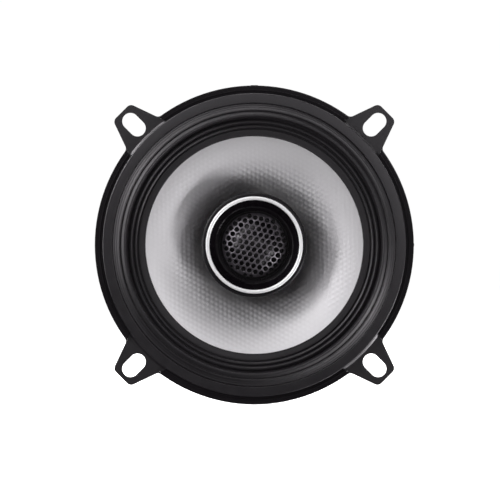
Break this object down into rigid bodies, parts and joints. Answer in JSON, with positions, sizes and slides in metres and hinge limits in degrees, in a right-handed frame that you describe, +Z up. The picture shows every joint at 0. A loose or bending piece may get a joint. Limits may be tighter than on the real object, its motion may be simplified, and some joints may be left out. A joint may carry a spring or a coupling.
{
  "type": "coaxial car speaker",
  "caption": "Round coaxial car speaker with a silver cone, ribbed rubber surround, slotted mounting ears and a tweeter pod on a post.",
  "frame": {"origin": "centre of the mounting plane, where the rear of the flange and its ears meets the panel", "axes": "-Y is the way the speaker faces and its forward stroke, +Y goes through the panel to the magnet, +Z is up and +X is right as seen from the front"},
  "size_m": [0.1314, 0.0583, 0.1314],
  "materials": {
    "basket_paint": "satin",
    "trim_plastic": "matte",
    "gasket_foam": "matte",
    "surround_rubber": "satin",
    "cone_silver": "satin",
    "spider_cloth": "matte",
    "former_film": "satin",
    "copper_wire": "satin",
    "plated_steel": "satin",
    "ferrite": "matte",
    "cover_rubber": "satin",
    "post_aluminium": "satin",
    "nut_steel": "satin",
    "pod_plastic": "satin",
    "ring_chrome": "polished",
    "funnel_gloss": "gloss",
    "mesh_black": "satin",
    "neodymium": "satin",
    "soft_dome": "satin",
    "felt": "matte",
    "phenolic": "satin",
    "tinned_brass": "satin",
    "rivet_aluminium": "satin",
    "tinsel": "satin",
    "cap_sleeve": "gloss",
    "hot_melt": "satin",
    "tinned_wire": "satin",
    "wire_red": "satin",
    "wire_black": "satin",
    "sleeve_black": "satin",
    "paint_adhesive": "satin"
  },
  "bodies": {
    "chassis": {"basket": "basket_paint", "basket_rivets": "rivet_aluminium", "trim_ring": "trim_plastic", "front_gasket": "gasket_foam", "surround": "surround_rubber", "spider": "spider_cloth", "top_plate": "plated_steel", "ferrite_magnet": "ferrite", "pole_yoke": "plated_steel", "rear_cover": "cover_rubber", "tweeter_post": "post_aluminium", "post_washer": "nut_steel", "post_nut": "nut_steel", "tweeter_housing": "pod_plastic", "housing_nut": "nut_steel", "tweeter_trim_ring": "ring_chrome", "tweeter_funnel": "funnel_gloss", "tweeter_face_plate": "pod_plastic", "tweeter_grille": "mesh_black", "tweeter_yoke_cup": "plated_steel", "tweeter_magnet": "neodymium", "tweeter_pole_plate": "plated_steel", "tweeter_damping_pad": "felt", "tweeter_diaphragm": "soft_dome", "tweeter_lugs": "tinned_brass", "terminal_board": "phenolic", "board_rivets": "rivet_aluminium", "positive_terminal": "tinned_brass", "negative_terminal": "tinned_brass", "terminal_rivets": "rivet_aluminium", "lead_positive": "tinsel", "lead_negative": "tinsel", "crossover_capacitor": "cap_sleeve", "capacitor_adhesive": "hot_melt", "capacitor_leads": "tinned_wire", "tweeter_wire_positive": "wire_red", "tweeter_wire_negative": "wire_black", "wire_splice_sleeve": "sleeve_black"},
    "cone_assembly": {"cone": "cone_silver", "voice_coil_former": "former_film", "voice_coil_winding": "copper_wire", "lead_pads": "paint_adhesive"},
    "tweeter_moving": {"tweeter_voice_coil": "copper_wire"}
  },
  "joints": [
    {"name": "woofer_stroke", "type": "slide", "parent": "chassis", "child": "cone_assembly", "axis": [0, -1, 0], "range_m": [-0.0045, 0.0045], "stiffness_N_per_m": 2500, "deforming": ["surround", "spider", "lead_positive", "lead_negative"]},
    {"name": "tweeter_stroke", "type": "slide", "parent": "chassis", "child": "tweeter_moving", "axis": [0, -1, 0], "range_m": [-0.0003, 0.0003], "stiffness_N_per_m": 4000, "deforming": ["tweeter_diaphragm"]}
  ]
}
